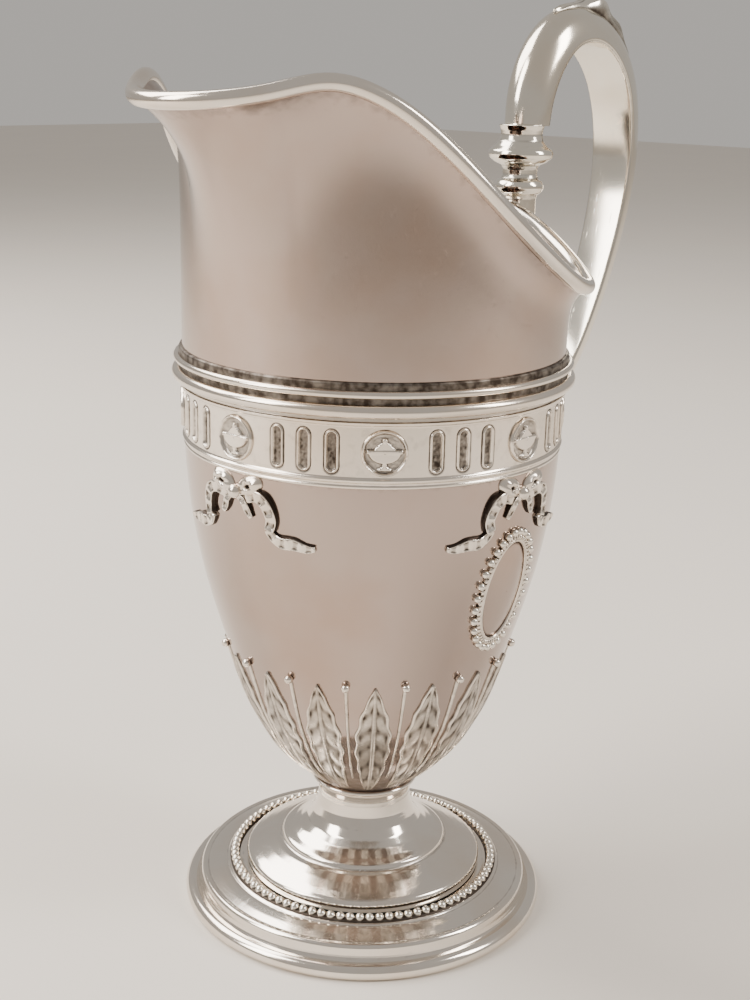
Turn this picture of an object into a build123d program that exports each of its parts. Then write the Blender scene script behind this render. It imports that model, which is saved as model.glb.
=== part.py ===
"""Silver water pitcher, neoclassical helmet shape, on a stepped round foot.

Frame: origin at the centre of the foot's resting face, +Z up, the spout toward -X, the handle toward +X, the two
oval plaques on -Y and +Y. All sizes are in millimetres.
"""
import os
from math import acos, atan2, cos, degrees, exp, hypot, pi, radians, sin, sqrt

from build123d import *

# Overall sizes
SHEET = 1.2  # thickness of the raised silver sheet
FOOT_RIM_R = 48.7  # centre radius of the wire under the foot
FOOT_WIRE = 2.3  # radius of that wire
BEAD_RING_R = 36.9  # radius of the foot's bead moulding
BEAD_COUNT = 88
DOME_R = 33.4  # outer edge of the domed step
STEP_R = 23.2  # edge of the small step under the stem
WAIST_R = 12.9  # narrowest part of the stem
BODY_Z = 36.0  # where the cup sits on the stem
BAND_Z = 134.5  # where the cup becomes a straight wall
BAND_R = 49.7  # radius of that straight wall
FRIEZE_LO = 136.0
FRIEZE_HI = 148.0
JOIN_Z = 157.0  # joint between the cup and the helmet
GIRDLE_R = 52.9  # outermost radius of the girdle
NECK_R = 50.2  # radius of the helmet's straight wall
CUP_STEPS = 18  # rings that the cup's curve is turned in
LEAF_COUNT = 16
ROUNDELS = 8
ROUNDEL_R = 5.8
ROUNDEL_Z = 142.0
LIP = 11.0  # most that the lip turns out at the spout
RIM_WIRE = 2.0  # radius of the rolled rim
HANDLE_X = 60.8  # axis of the handle's upright ferrule
OVAL_Z = 102.0  # centre of the oval plaques
BOW_Z = 128.6  # centre of the ribbon bows
PAD_X = 51.2  # flat face of the pad that takes the handle's lower end

BODY_PROFILE = [(14.1, 36), (17, 39), (22.1, 44), (26.4, 49), (30.1, 55.2), (33.3, 61.5), (35.8, 68), (38.7, 77),
                (42.4, 89), (46, 103), (48.4, 117), (49.4, 127), (BAND_R, BAND_Z)]

# Rim of the mouth, by angle from the spout: (angle, radius, height)
RIM = [(0, 71, 219.5), (10, 68.5, 220), (20, 63.3, 221.8), (30, 58.4, 224), (40, 55.2, 221.8), (50, 53.8, 216.3),
       (60, 53.6, 208.6), (70, 53.6, 200), (80, 53.6, 191.8), (90, 53.6, 185), (100, 53.6, 179.8), (110, 53.6, 176.6),
       (120, 53.6, 175.2), (130, 53.6, 175), (140, 53.6, 176.3), (150, 53.6, 179), (160, 53.6, 182.8),
       (170, 53.6, 187), (180, 53.6, 189.6)]

# Half width and height of the thumb leaf where it crosses the handle's points
LEAF_SHAPE = [(0.8, 0.8), (2.6, 3.6), (2.9, 2.2), (2.4, 1.6), (0.7, 0.8)]

# Centre line of the handle from the ferrule over the top to the wall, with its width: (x, z, width)
HANDLE = [(60.8, 214, 13.2), (61.6, 221, 13.8), (65.8, 231, 14.4), (74, 239, 14.8), (86, 241.5, 15), (98, 237, 15),
          (107, 227, 14.8), (111.2, 214, 14.2), (111.5, 199, 13.6), (107.5, 181, 12.6), (100.5, 163, 11.6),
          (91, 146, 10.6), (78.5, 131.5, 9.8), (64, 120.5, 9.2), (PAD_X, 117, 9)]

os.makedirs("parts", exist_ok=True)


def save(shape, node):
    """Write one subcomponent."""
    solids = list(shape.solids()) if not isinstance(shape, list) else shape
    out = solids[0] if len(solids) == 1 else Compound(children=solids)
    export_step(out, f"parts/{node}.step")


def turned(*edges):
    """A solid turned about Z from a closed outline in the XZ plane."""
    return revolve(make_face(list(edges)), Axis.Z)


def at(points):
    """Points of a profile, from (radius, height)."""
    return [Vector(r, 0, z) for r, z in points]


def poly(points):
    """A turned solid from straight edges through (radius, height) points."""
    pts = at(points)
    return turned(Polyline(*pts, close=True))


def offset_points(points, gap):
    """Profile points moved outward by gap along the local normal."""
    moved = []
    for i, (r, z) in enumerate(points):
        a = points[max(i - 1, 0)]
        b = points[min(i + 1, len(points) - 1)]
        length = hypot(b[0] - a[0], b[1] - a[1])
        moved.append((r + gap * (b[1] - a[1]) / length, z - gap * (b[0] - a[0]) / length))
    return moved


def body_points():
    """Points down the outside of the cup, from its foot to its straight wall."""
    wall = Spline(*at(BODY_PROFILE), tangents=[(1, 0, 1), (0, 0, 1)])
    spots = [wall @ (k / CUP_STEPS) for k in range(CUP_STEPS)]
    return [(p.X, p.Z) for p in spots] + [(BAND_R, BAND_Z)]


CUP_OUTLINE = body_points()


def body_fill(gap=0.0):
    """The cup as a full solid, its outside grown by gap."""
    points = offset_points(CUP_OUTLINE, gap) if gap else CUP_OUTLINE
    return poly(points + [(points[-1][0], JOIN_Z), (0, JOIN_Z), (0, points[0][1])])


BODY = body_fill()


def body_radius(z):
    """Approximate outside radius of the cup at a height."""
    for (r0, z0), (r1, z1) in zip(BODY_PROFILE, BODY_PROFILE[1:]):
        if z <= z1:
            return r0 + (r1 - r0) * (z - z0) / (z1 - z0)
    return BAND_R


def skin(gap):
    """A layer of the given thickness over the outside of the cup."""
    return body_fill(gap) - BODY


def prism(face):
    """A face drawn in the YZ plane pushed outward along +X."""
    return extrude(face, amount=70, dir=(1, 0, 0))


def yz_face(points, closed_spline=False):
    """A face in the YZ plane at x = 4 through (across, height) points."""
    pts = [Vector(4, y, z) for y, z in points]
    if closed_spline:
        return make_face(Spline(*pts, periodic=True))
    return make_face(Polyline(*pts, close=True))


def oval_face(half_y, half_z, z):
    """An oval in the YZ plane at x = 4."""
    return Plane(origin=(4, 0, z), x_dir=(0, 1, 0), z_dir=(1, 0, 0)) * Ellipse(half_y, half_z)


def stadium_face(width, height, z):
    """An upright slot shape in the YZ plane at x = 4."""
    return Plane(origin=(4, 0, z), x_dir=(0, 1, 0), z_dir=(1, 0, 0)) * SlotOverall(height, width, rotation=90)


def around(shape, angles):
    """Copies of a shape turned about Z."""
    return [shape.rotate(Axis.Z, a) for a in angles]


def around_one(shapes, angle):
    """Several shapes turned together about Z."""
    return [shape.rotate(Axis.Z, angle) for shape in shapes]


def joined(result):
    """A boolean's result as one shape."""
    solids = result.solids()
    return solids[0] if len(solids) == 1 else Compound(children=list(solids))


def fused(shapes):
    """One shape from several overlapping ones."""
    return joined(shapes[0].fuse(*shapes[1:]))


def cut(shape, *tools):
    """The shape less its tools."""
    return joined(shape.cut(*tools))


def common(shape, other):
    """The space two shapes share."""
    return joined(shape.intersect(other))


def flat_bead(radius):
    """A bead with a flat back at z = 0, standing out along +Z."""
    return cut(Pos(0, 0, radius * 0.35) * Sphere(radius), Pos(0, 0, -radius) * Box(4 * radius, 4 * radius, 2 * radius))


# Foot ---------------------------------------------------------------------------------------------------------------
def make_foot():
    land = 9.8
    flange = poly([(32.4, land), (38.8, land), (39.6, 9.3), (45.0, 7.9), (45.6, 8.1), (46.2, 7.7), (46.4, 7.0),
                   (46.7, 5.2), (47.6, 3.6), (48.9, 3.0), (48.9, 1.8), (47.0, 2.3), (45.6, 4.4), (45.2, 6.4),
                   (39.2, 8.0), (38.4, 8.6), (32.4, 8.6)])
    ring = Pos(0, 0, 2.0) * Torus(FOOT_RIM_R, FOOT_WIRE)
    below = Pos(0, 0, -5) * Cylinder(60, 10)
    save(cut(ring, below, flange), "foot_rim_wire")
    save(flange, "foot_flange")

    strip = poly([(BEAD_RING_R - 1.3, land), (BEAD_RING_R + 1.3, land), (BEAD_RING_R + 1.3, land + 0.5),
                  (BEAD_RING_R - 1.3, land + 0.5)])
    bead = flat_bead(1.25).moved(Location((BEAD_RING_R, 0, land + 0.5)))
    save(strip, "foot_bead_strip")
    save(around(bead, [360 * i / BEAD_COUNT for i in range(BEAD_COUNT)]), "foot_beads")

    outer = at([(DOME_R, 12.4), (32.4, 13.2), (28.5, 15.0), (STEP_R + 0.5, 16.6)])
    trumpet = at([(STEP_R - 0.6, 18.2), (19.4, 19.6), (16, 22.2), (13.6, 26.2), (WAIST_R, 30), (13.4, 33.5), (13.9, 34.6)])
    outside = [Line(Vector(DOME_R, 0, land), outer[0]), Spline(*outer), Line(outer[-1], Vector(STEP_R, 0, 17.6)),
               Line(Vector(STEP_R, 0, 17.6), trumpet[0]), Spline(*trumpet)]
    inner = [(12.6, 34.6), (12.0, 33.5), (WAIST_R - SHEET, 30), (12.3, 25.8), (15.1, 21.2), (18.9, 18.4), (21.8, 16.9),
             (22.4, 15.8), (28.0, 13.6), (31.6, 12.1), (32.2, 11.6), (32.6, land)]
    bore = Polyline(trumpet[-1], *at(inner), Vector(DOME_R, 0, land))
    save(turned(*outside, *bore.edges()), "foot_dome_and_stem")
    save(poly([(0, 34.6), (14.3, 34.6), (14.9, 35.0), (14.9, 35.6), (14.3, BODY_Z), (0, BODY_Z)]), "stem_collar")


# Cup ----------------------------------------------------------------------------------------------------------------
def make_cup():
    inside = [p for p in offset_points(CUP_OUTLINE, -SHEET) if p[1] > 40.5]
    save(cut(BODY, poly([(0, 39.6), (10, 40.0)] + inside + [(inside[-1][0], JOIN_Z), (0, JOIN_Z)])), "cup_body")


def make_leaves():
    half = [(0.9, 38.6), (2.1, 42), (3.3, 47), (4.3, 53), (4.9, 59), (4.6, 64), (3.6, 69.5), (2.0, 74), (0.6, 77)]
    left = Spline(*[Vector(4, -w, z) for w, z in half])
    right = Spline(*[Vector(4, w, z) for w, z in half])
    tip = ThreePointArc(left @ 1, Vector(4, 0, 77.8), right @ 1)
    outline = make_face([left, right, tip, Line(left @ 0, right @ 0)])
    rib = yz_face([(-0.7, 39.2), (0.7, 39.2), (0.35, 74.5), (-0.35, 74.5)])
    leaf = fused([common(prism(outline), skin(0.7)), common(prism(rib), skin(1.2))])
    angles = [360 * i / LEAF_COUNT for i in range(LEAF_COUNT)]
    save([s for one in around(leaf, angles) for s in one.solids()], "acanthus_leaves")

    ball = cut(Pos(body_radius(78) + 0.7, 0, 78) * Sphere(1.2), BODY)
    stem = common(prism(yz_face([(-0.3, 44), (0.3, 44), (0.55, 77.6), (-0.55, 77.6)])), skin(0.6))
    pin = fused([ball, stem])
    half_step = 180 / LEAF_COUNT
    save([s for one in around(pin, [a + half_step for a in angles]) for s in one.solids()], "ball_tipped_pins")


# Frieze and girdle --------------------------------------------------------------------------------------------------
def make_frieze():
    band = poly([(BAND_R, FRIEZE_LO), (BAND_R + 0.5, FRIEZE_LO), (BAND_R + 0.5, FRIEZE_HI), (BAND_R, FRIEZE_HI)])
    drum = poly([(BAND_R, FRIEZE_LO), (BAND_R + 0.9, FRIEZE_LO), (BAND_R + 0.9, FRIEZE_HI), (BAND_R, FRIEZE_HI)])
    slot_angles = [45 * i + 22.5 + 8 * k for i in range(ROUNDELS) for k in (-1, 0, 1)]
    frame = common(prism(stadium_face(3.2, 10.4, ROUNDEL_Z)), drum)
    recess = prism(stadium_face(1.8, 8.8, ROUNDEL_Z))
    seat = prism(oval_face(ROUNDEL_R + 0.05, ROUNDEL_R + 0.05, ROUNDEL_Z))
    whole = fused([band] + around(frame, slot_angles))
    tools = around(recess, slot_angles) + around(seat, [45 * i for i in range(ROUNDELS)])
    save(cut(whole, *tools), "frieze_band")

    def layer(face, gap):
        drum_r = BAND_R + gap
        slab = poly([(BAND_R, 130), (drum_r, 130), (drum_r, 150), (BAND_R, 150)])
        return common(prism(face), slab)

    z = ROUNDEL_Z
    plate = layer(oval_face(ROUNDEL_R, ROUNDEL_R, z), 0.3)
    ring = cut(layer(oval_face(ROUNDEL_R, ROUNDEL_R, z), 1.0), prism(oval_face(5.0, 5.0, z)))
    bowl = layer(yz_face([(-3.9, z + 0.3), (3.9, z + 0.3), (3.3, z - 1.4), (1.6, z - 2.5), (-1.6, z - 2.5),
                          (-3.3, z - 1.4)]), 0.9)
    pedestal = layer(yz_face([(-0.5, z - 2.2), (0.5, z - 2.2), (1.4, z - 4), (-1.4, z - 4)]), 0.8)
    lid = layer(yz_face([(-2.9, z + 0.2), (2.9, z + 0.2), (1.6, z + 1.9), (0.5, z + 3.4), (-0.5, z + 3.4),
                         (-1.6, z + 1.9)]), 0.8)
    roundel = fused([plate, ring, bowl, pedestal, lid])
    copies = around(roundel, [45 * i for i in range(ROUNDELS)])
    save([s for one in copies for s in one.solids()], "urn_roundels")

    fillet = poly([(BAND_R, 134.6), (BAND_R + 0.5, 134.7), (BAND_R + 0.7, 135.0), (BAND_R + 0.7, 135.6),
                   (BAND_R + 0.5, FRIEZE_LO), (BAND_R, FRIEZE_LO)])
    save(fillet, "frieze_lower_fillet")
    steps = poly([(BAND_R, FRIEZE_HI), (50.4, FRIEZE_HI), (50.4, 148.7), (50.9, 148.8), (50.9, 149.5), (50.4, 149.6),
                  (50.4, 150.3), (BAND_R, 150.3)])
    save(steps, "frieze_upper_fillet")


def reed(centre_r, z, radius, inner_r):
    """Half-round ring on a cylinder wall."""
    half = sqrt(radius ** 2 - (inner_r - centre_r) ** 2)
    low, high = Vector(inner_r, 0, z - half), Vector(inner_r, 0, z + half)
    arc = ThreePointArc(low, Vector(centre_r + radius, 0, z), high)
    return turned(arc, Line(high, low))


def make_girdle():
    strap = poly([(BAND_R, 150.3), (51.0, 150.3), (51.0, 159.0), (NECK_R + 0.06, 159.0), (NECK_R + 0.06, JOIN_Z),
                  (BAND_R, JOIN_Z)])
    save(strap, "girdle_strap")
    save(reed(GIRDLE_R - 1.6, 152.2, 1.6, 51.0), "girdle_reed_lower")
    save(reed(51.4, 156.2, 1.0, 51.0), "girdle_reed_upper")


# Helmet, with its rim -----------------------------------------------------------------------------------------------
def rim_slope(i):
    """Cosine of the rim's climb around the mouth."""
    a, b = RIM[max(i - 1, 0)], RIM[min(i + 1, len(RIM) - 1)]
    run = radians(b[0] - a[0]) * RIM[i][1]
    rise = 0.0 if i in (0, len(RIM) - 1) else b[2] - a[2]
    return run / hypot(run, rise)


def helmet_section(i):
    """Outside and inside points of the helmet wall at one angle, in (radius, height), and the wall's direction."""
    angle, rim_r, rim_z = RIM[i]
    flare = min(15 + 45 * exp(-(angle / 45) ** 2), rim_z - JOIN_Z - 1)
    spread = rim_r - NECK_R
    lip = min(0.85 * spread, LIP)
    outside, inside = [], []
    count = 12
    for k in range(count):
        z = rim_z - (rim_z - JOIN_Z) * (1 - k / (count - 1)) ** 1.4
        t = max(0.0, (z - rim_z + flare) / flare)
        slope = (2 * (spread - lip) * t + 6 * lip * t ** 5) / flare
        r = NECK_R + (spread - lip) * t ** 2 + lip * t ** 6
        n = (1 / hypot(1, slope), -slope / hypot(1, slope))
        outside.append((r, z))
        inside.append((r - SHEET * n[0], z - SHEET * n[1]))
    inside[0] = (NECK_R - SHEET, JOIN_Z)
    along = (slope / hypot(1, slope), 1 / hypot(1, slope))
    return outside, inside, along


def place(points, angle):
    """Put (radius, height) points in the upright half plane at an angle from the spout, on the +Y side."""
    a = radians(180 - angle)
    return [Vector(r * cos(a), r * sin(a), z) for r, z in points]


def helmet_wires(i, side):
    """Outlines of the wall and of the rim wire at one angle, on one side of the mirror plane."""
    outside, inside, along = helmet_section(i)
    angle = side * RIM[i][0]
    out, ins = place(outside, angle), place(inside, angle)
    wall = Wire([Spline(*out), Line(out[-1], ins[-1]), Spline(*ins[::-1]), Line(ins[0], out[0])])
    (r1, z1), (r0, z0) = outside[-1], inside[-1]
    across = ((r1 - r0) / SHEET, (z1 - z0) / SHEET)
    lean = acos(SHEET / 2 / RIM_WIRE)
    height = RIM_WIRE / rim_slope(i)
    loop = []
    for k in range(9):
        turn = -lean + (pi + 2 * lean) * k / 8
        u, v = RIM_WIRE * cos(turn), height * (sin(turn) + sin(lean))
        loop.append(((r0 + r1) / 2 + across[0] * u + along[0] * v, (z0 + z1) / 2 + across[1] * u + along[1] * v))
    ring = place(loop, angle)
    ring[0], ring[-1] = out[-1], ins[-1]
    return wall, Wire([Spline(*ring), Line(ring[-1], ring[0])])


def make_helmet():
    middle, last = len(RIM) // 2, len(RIM) - 1
    front = [(i, -1) for i in range(middle, 0, -1)] + [(i, 1) for i in range(middle + 1)]
    back = [(i, 1) for i in range(middle, last + 1)] + [(i, -1) for i in range(last - 1, middle - 1, -1)]
    for which, name in ((0, "helmet_body"), (1, "rim_wire")):
        halves = [Solid.make_loft([helmet_wires(i, side)[which] for i, side in run]) for run in (front, back)]
        save(fused(halves), name)


# Applied ornament ---------------------------------------------------------------------------------------------------
def ribbon(path, width):
    """A ribbon with rounded turns along a path of (across, height) points, drawn flat."""
    runs = []
    for (y0, z0), (y1, z1) in zip(path, path[1:]):
        run = SlotCenterToCenter(hypot(y1 - y0, z1 - z0), width)
        runs.append(Pos((y0 + y1) / 2, (z0 + z1) / 2) * Rot(0, 0, degrees(atan2(z1 - z0, y1 - y0))) * run)
    return runs


def mirrored(path):
    return [(-y, z) for y, z in path]


def make_bows():
    tail = [(1.2, -0.8), (6.5, 0.2), (9.6, -2.6), (10.4, -7), (12.8, -10.4), (17, -11.2), (21.5, -11.8)]
    short = [(0.9, -0.8), (3.2, -3.4), (4.6, -6.4)]
    runs = []
    for side in (-1, 1):
        outer = Pos(side * 4.6, 1.9) * Rot(0, 0, side * 24) * Ellipse(4.4, 2.7)
        inner = Pos(side * 4.9, 2.0) * Rot(0, 0, side * 24) * Ellipse(2.4, 1.0)
        runs.append(outer - inner)
        runs += ribbon(tail if side > 0 else mirrored(tail), 2.6)
        runs += ribbon(short if side > 0 else mirrored(short), 2.0)
    drawing = runs[0].fuse(*runs[1:])
    stand = Plane(origin=(4, 0, BOW_Z), x_dir=(0, 1, 0), z_dir=(1, 0, 0))
    strips = [common(prism(stand * face), skin(1.4)) for face in drawing.faces()]
    knot = cut(Pos(body_radius(BOW_Z) + 0.4, 0, BOW_Z) * Sphere(2.1), BODY)
    bow = fused([knot] + strips)
    for angle, name in ((180, "spout"), (90, "left"), (-90, "right"), (0, "handle")):
        save(bow.rotate(Axis.Z, angle), f"ribbon_bow_{name}")


def make_ovals():
    half_y, half_z, count = 10.0, 16.3, 30
    inside = oval_face(7.4, 13.6, OVAL_Z)
    frame = cut(common(prism(oval_face(8.8, 15.1, OVAL_Z)), skin(1.1)), prism(inside))
    plaque = common(prism(oval_face(7.35, 13.55, OVAL_Z)), skin(0.7))
    bead, beads = flat_bead(0.97), []
    for i in range(count):
        a = 2 * pi * i / count
        y, z = half_y * cos(a), OVAL_Z + half_z * sin(a)
        r = body_radius(z) + 0.25
        turn = atan2(y, sqrt(r * r - y * y))
        lean = atan2(body_radius(z + 1) - body_radius(z - 1), 2)
        spot = Plane(origin=(r * cos(turn), y, z), z_dir=(cos(turn) * cos(lean), sin(turn) * cos(lean), -sin(lean)))
        beads.append(bead.moved(Location(spot)))
    for angle, name in ((90, "left"), (-90, "right")):
        save(frame.rotate(Axis.Z, angle), f"oval_frame_{name}")
        save(plaque.rotate(Axis.Z, angle), f"oval_plaque_{name}")
        save(around_one(beads, angle), f"oval_beads_{name}")


# Handle -------------------------------------------------------------------------------------------------------------
def make_thumb_leaf(line, grip):
    """A leaf with a raised scroll along the crown of the handle."""
    wires = []
    for x, z, width in HANDLE[3:8]:
        t = line.param_at_point(Vector(x, 0, z))
        p, d = line @ t, line % t
        out, side = Vector(-d.Z, 0, d.X), Vector(0, 1, 0)
        crown = p + out * (width * 0.62 * 0.55 - 0.2)
        half, tall = LEAF_SHAPE[len(wires)]
        loop = [crown + side * half, crown + side * half * 0.8 + out * tall * 0.7, crown + out * tall,
                crown - side * half * 0.8 + out * tall * 0.7, crown - side * half]
        wires.append(Wire([Spline(*loop), Line(loop[-1], loop[0])]))
    save(cut(Solid.make_loft(wires), grip), "handle_thumb_leaf")


def make_handle():
    line = Spline(*[Vector(x, 0, z) for x, z, _ in HANDLE], tangents=[(0, 0, 1), (-1, 0, 0)])
    grips, strips = [], []
    for x, z, width in HANDLE:
        t = line.param_at_point(Vector(x, 0, z))
        p, d = line @ t, line % t
        if x == HANDLE_X:
            d = Vector(0, 0, 1)
        out = Vector(-d.Z, 0, d.X)
        side = Vector(0, 1, 0)
        half, thick = width / 2, width * 0.62
        arc = []
        for k in range(7):
            a = pi * k / 6
            arc.append(p + side * (half * cos(a)) + out * (thick * (sin(a) - 0.45)))
        grips.append(Wire([Spline(*arc), Line(arc[-1], arc[0])]))
        back = out * -1.0
        strips.append(Wire.make_polygon([arc[0], arc[-1], arc[-1] + back + side * 0.5, arc[0] + back - side * 0.5]))
    grip = Solid.make_loft(grips)
    save(grip, "handle_grip")
    save(Solid.make_loft(strips), "handle_inner_strip")
    make_thumb_leaf(line, grip)
    pad = extrude(oval_face(7.5, 9.5, 116), amount=PAD_X - 4, dir=(1, 0, 0))
    save(cut(pad, BODY), "handle_lower_pad")

    rings = [(0, 160), (1.6, 160.6), (2.4, 162.5), (4.2, 168), (4.7, 176), (4.9, 186), (4.9, 194.5), (6.2, 195.5),
             (6.9, 197), (6.2, 198.5), (5.0, 199.5), (4.9, 202.5), (7.0, 203.5), (9.0, 205), (9.2, 206), (9.0, 207),
             (7.0, 208.8), (5.8, 210.5), (5.8, 212.5), (6.6, 214), (0, 214)]
    ferrule = Pos(HANDLE_X, 0, 0) * poly(rings)
    lug = Pos(HANDLE_X - 7, 0, 169) * Box(14, 6, 9)
    save(ferrule, "handle_ferrule")
    save(cut(lug, ferrule, Cylinder(NECK_R + 0.01, 400)), "handle_upper_lug")


if __name__ == "__main__":
    make_foot()
    make_cup()
    make_leaves()
    make_frieze()
    make_girdle()
    make_helmet()
    make_bows()
    make_ovals()
    make_handle()
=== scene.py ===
"""Looks of the silver water pitcher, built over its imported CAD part. Sizes below are in millimetres."""

import math

import bpy
import numpy as np
from mathutils import Matrix, Vector


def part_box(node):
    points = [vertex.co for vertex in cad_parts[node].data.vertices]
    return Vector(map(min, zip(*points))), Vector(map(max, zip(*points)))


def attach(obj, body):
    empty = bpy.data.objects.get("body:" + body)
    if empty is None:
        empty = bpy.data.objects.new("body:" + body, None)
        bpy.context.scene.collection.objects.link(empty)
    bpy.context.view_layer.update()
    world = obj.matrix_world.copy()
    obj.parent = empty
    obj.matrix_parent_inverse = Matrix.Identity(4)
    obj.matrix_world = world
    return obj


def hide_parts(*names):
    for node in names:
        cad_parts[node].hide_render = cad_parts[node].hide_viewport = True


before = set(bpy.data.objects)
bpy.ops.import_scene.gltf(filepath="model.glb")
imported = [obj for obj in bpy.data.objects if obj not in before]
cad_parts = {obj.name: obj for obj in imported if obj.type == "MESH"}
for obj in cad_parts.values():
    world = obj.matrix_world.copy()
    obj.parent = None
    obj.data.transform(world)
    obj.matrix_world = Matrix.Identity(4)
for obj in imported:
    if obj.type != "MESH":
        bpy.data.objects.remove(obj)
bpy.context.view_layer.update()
MM = 0.001
rng = np.random.default_rng(11)


def box(node):
    """Lowest and highest corner of a CAD node, in millimetres."""
    low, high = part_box(node)
    return np.array(low) / MM, np.array(high) / MM


# Shape helpers ------------------------------------------------------------------------------------
def spline(xs, ys, x, clamp=(None, None)):
    """Natural cubic spline through the knots, or with the given end slopes."""
    xs, ys = np.asarray(xs, float), np.asarray(ys, float)
    n, h = len(xs), np.diff(xs)
    a, b = np.zeros((n, n)), np.zeros(n)
    for i in range(1, n - 1):
        a[i, i - 1:i + 2] = h[i - 1], 2 * (h[i - 1] + h[i]), h[i]
        b[i] = 6 * ((ys[i + 1] - ys[i]) / h[i] - (ys[i] - ys[i - 1]) / h[i - 1])
    a[0, 0] = a[-1, -1] = 1
    if clamp[0] is not None:
        a[0, :2] = 2 * h[0], h[0]
        b[0] = 6 * ((ys[1] - ys[0]) / h[0] - clamp[0])
    if clamp[1] is not None:
        a[-1, -2:] = h[-1], 2 * h[-1]
        b[-1] = 6 * (clamp[1] - (ys[-1] - ys[-2]) / h[-1])
    m = np.linalg.solve(a, b)
    x = np.asarray(x, float)
    i = np.clip(np.searchsorted(xs, x) - 1, 0, n - 2)
    t, u, w = x - xs[i], xs[i + 1] - x, h[i]
    return (m[i] * u ** 3 + m[i + 1] * t ** 3) / (6 * w) + (ys[i] / w - m[i] * w / 6) * u + (
        ys[i + 1] / w - m[i + 1] * w / 6) * t


def chaikin(points, rounds=3, closed=False):
    """Corner cutting: a polyline with its corners rounded."""
    p = np.asarray(points, float)
    for _ in range(rounds):
        q = np.roll(p, -1, 0) if closed else p[1:]
        base = p if closed else p[:-1]
        cut = np.stack([0.75 * base + 0.25 * q, 0.25 * base + 0.75 * q], 1).reshape(-1, p.shape[1])
        p = cut if closed else np.vstack([p[:1], cut, p[-1:]])
    return p


def step(low, high, x):
    """Smooth step from 0 at low to 1 at high."""
    t = np.clip((np.asarray(x, float) - low) / (high - low), 0, 1)
    return t * t * (3 - 2 * t)


def hump(x, centre, width):
    """A smooth ridge of height 1."""
    return np.exp(-((x - centre) / width) ** 2)


def soften(field, rounds, wrap):
    """Repeated neighbour average of a height grid."""
    for _ in range(rounds):
        pad = np.pad(field, ((0, 0), (1, 1)), mode="edge")
        field = (pad[:, :-2] + pad[:, 1:-1] + pad[:, 2:]) / 3
        if wrap:
            field = (np.roll(field, 1, 0) + field + np.roll(field, -1, 0)) / 3
        else:
            pad = np.pad(field, ((1, 1), (0, 0)), mode="edge")
            field = (pad[:-2] + pad[1:-1] + pad[2:]) / 3
    return field


def cavity(height, rounds=6, wrap=False, depth=0.16):
    """How deep a height grid lies below its surroundings, 0 to 1."""
    return np.clip((soften(height, rounds, wrap) - height) / depth, 0, 1)


class Piece:
    """Quad grids gathered into one mesh, with a darkening value at each point for tarnish and painted shade.
    """

    def __init__(self):
        self.v, self.f, self.t, self.count = [], [], [], 0

    def grid(self, points, tarnish_and_shade=0.0, wrap_u=False, wrap_v=False, flip=False):
        points = np.asarray(points, float)
        nu, nv = points.shape[:2]
        index = np.arange(nu * nv).reshape(nu, nv)
        a = np.vstack([index, index[:1]]) if wrap_u else index
        a = np.hstack([a, a[:, :1]]) if wrap_v else a
        quads = np.stack([a[:-1, :-1], a[1:, :-1], a[1:, 1:], a[:-1, 1:]], -1).reshape(-1, 4)
        self.f.append((quads[:, ::-1] if flip else quads) + self.count)
        self.v.append(points.reshape(-1, 3))
        self.t.append(np.broadcast_to(np.asarray(tarnish_and_shade, float), (nu, nv)).ravel())
        self.count += nu * nv
        return self

    def make(self, name, material, slot):
        """Make the mesh, which stands for the CAD node of the same name."""
        v, f, t = np.vstack(self.v) * MM, np.vstack(self.f).astype(np.int32), np.concatenate(self.t)
        mesh = bpy.data.meshes.new(name)
        mesh.vertices.add(len(v))
        mesh.vertices.foreach_set("co", v.astype(np.float32).ravel())
        mesh.loops.add(f.size)
        mesh.loops.foreach_set("vertex_index", f.ravel())
        mesh.polygons.add(len(f))
        mesh.polygons.foreach_set("loop_start", np.arange(len(f), dtype=np.int32) * 4)
        mesh.polygons.foreach_set("use_smooth", np.ones(len(f), bool))
        mesh.update(calc_edges=True)
        mesh.attributes.new("tarnish_and_shade", "FLOAT", "POINT").data.foreach_set("value", t.astype(np.float32))
        mesh.materials.append(material)
        piece = bpy.data.objects.new(name, mesh)
        bpy.context.scene.collection.objects.link(piece)
        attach(piece, "root")
        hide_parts(name)


def lathe(piece, profile, segments=288, tarnish_and_shade=None, axis_x=0.0, spread=10):
    """A turned surface from (radius, height) points that run upward on the outside."""
    p = np.asarray(profile, float)
    a = np.linspace(0, 2 * np.pi, segments, endpoint=False)[:, None]
    across, height = p[None, :, 0], p[None, :, 1]
    points = np.stack([axis_x + across * np.cos(a), across * np.sin(a), height + 0 * a], -1)
    if tarnish_and_shade is None:
        d = np.gradient(p, axis=0)
        d /= np.maximum(np.linalg.norm(d, axis=1), 1e-9)[:, None]
        soft = p.copy()
        for _ in range(spread):
            soft[1:-1] = (soft[:-2] + soft[1:-1] + soft[2:]) / 3
        out = (soft - p)[:, 0] * d[:, 1] - (soft - p)[:, 1] * d[:, 0]
        tarnish_and_shade = np.clip(out / 0.12, 0, 1)[None, :]
    return piece.grid(points, tarnish_and_shade, wrap_u=True)


def resample(points, gap):
    """A polyline with points every gap or so."""
    p = np.asarray(points, float)
    s = np.concatenate([[0], np.cumsum(np.linalg.norm(np.diff(p, axis=0), axis=1))])
    t = np.linspace(0, s[-1], max(8, int(s[-1] / gap)))
    return np.stack([np.interp(t, s, p[:, k]) for k in range(p.shape[1])], 1)


def curve(points, n):
    """A smooth path through points of any dimension."""
    p = np.asarray(points, float)
    s = np.concatenate([[0], np.cumsum(np.linalg.norm(np.diff(p, axis=0), axis=1))])
    t = np.linspace(0, s[-1], n)
    return np.stack([spline(s, p[:, k], t) for k in range(p.shape[1])], 1)


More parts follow.
